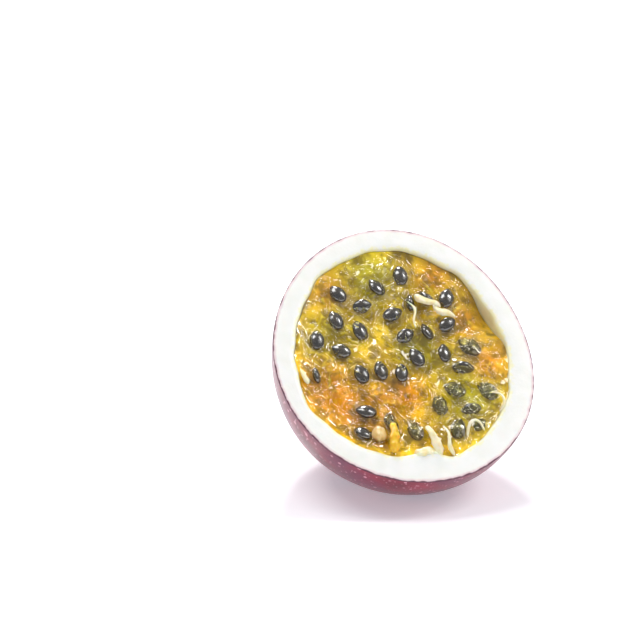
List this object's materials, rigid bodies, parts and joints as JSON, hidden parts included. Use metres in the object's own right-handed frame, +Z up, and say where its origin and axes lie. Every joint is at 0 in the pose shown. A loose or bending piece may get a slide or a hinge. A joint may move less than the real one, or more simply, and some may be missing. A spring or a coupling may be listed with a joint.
{
  "type": "passion fruit half",
  "caption": "Half of a ripe purple passion fruit, cut across, resting on its skin with the seedy golden pulp showing.",
  "frame": {"origin": "middle of the small flat spot that the half rests on, on the ground plane", "axes": "+Z up, -Y the side that the leaning cut face looks to, +X level along the cut face"},
  "size_m": [0.0579, 0.0546, 0.0526],
  "materials": {
    "skin_and_pith": "glossy purple leathery skin over soft white pith",
    "pulp": "wet translucent golden gel",
    "seed": "wet near-black pitted seed coat"
  },
  "bodies": {
    "root": {"rind": "skin_and_pith", "pulp": "pulp", "seed_01": "seed", "seed_02": "seed", "seed_03": "seed", "seed_04": "seed", "seed_05": "seed", "seed_06": "seed", "seed_07": "seed", "seed_08": "seed", "seed_09": "seed", "seed_10": "seed", "seed_11": "seed", "seed_12": "seed", "seed_13": "seed", "seed_14": "seed", "seed_15": "seed", "seed_16": "seed", "seed_17": "seed", "seed_18": "seed", "seed_19": "seed", "seed_20": "seed", "seed_21": "seed", "seed_22": "seed", "seed_23": "seed", "seed_24": "seed", "seed_25": "seed", "seed_26": "seed", "seed_27": "seed", "seed_28": "seed", "seed_29": "seed", "seed_30": "seed", "seed_31": "seed", "seed_32": "seed", "seed_33": "seed"}
  },
  "joints": []
}
